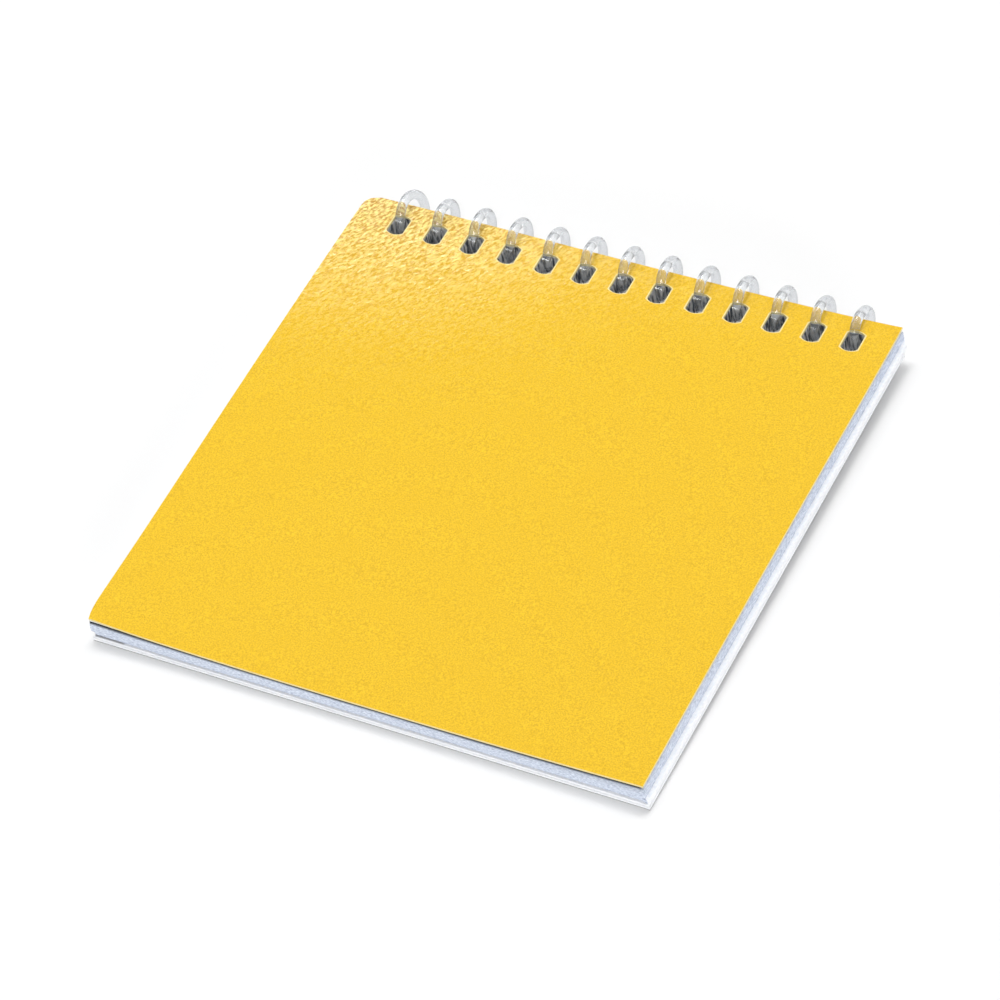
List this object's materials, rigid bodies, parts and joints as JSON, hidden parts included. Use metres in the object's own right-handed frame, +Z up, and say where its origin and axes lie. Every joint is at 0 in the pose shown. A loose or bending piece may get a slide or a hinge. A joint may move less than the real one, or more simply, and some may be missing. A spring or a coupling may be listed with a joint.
{
  "type": "coloring book",
  "caption": "Small square top-bound coloring pad: glossy card front cover, block of pages and card back cover, turning on a clear plastic coil.",
  "frame": {"origin": "on the table, under the middle of the pad's bounding box", "axes": "+Z up, +Y towards the coil at the bound edge, X along the coil with the cover seen from above"},
  "size_m": [0.0904, 0.0936, 0.0084],
  "materials": {
    "laminated_card": "glossy clear laminate",
    "page_paper": "matt, uncoated",
    "back_card": "matt, smooth",
    "clear_pvc": "clear, glossy"
  },
  "bodies": {
    "back": {"back_cover": "back_card", "binding_coil": "clear_pvc"},
    "pages": {"page_block": "page_paper"},
    "front": {"front_cover": "laminated_card"}
  },
  "joints": [
    {"name": "page_turn", "type": "hinge", "parent": "back", "child": "pages", "pos_m": [0, 0.0426, 0.0042], "axis": [-1, 0, 0], "range_deg": [0, 180]},
    {"name": "cover_turn", "type": "hinge", "parent": "pages", "child": "front", "pos_m": [0, 0.0426, 0.0042], "axis": [-1, 0, 0], "range_deg": [0, 180]}
  ]
}
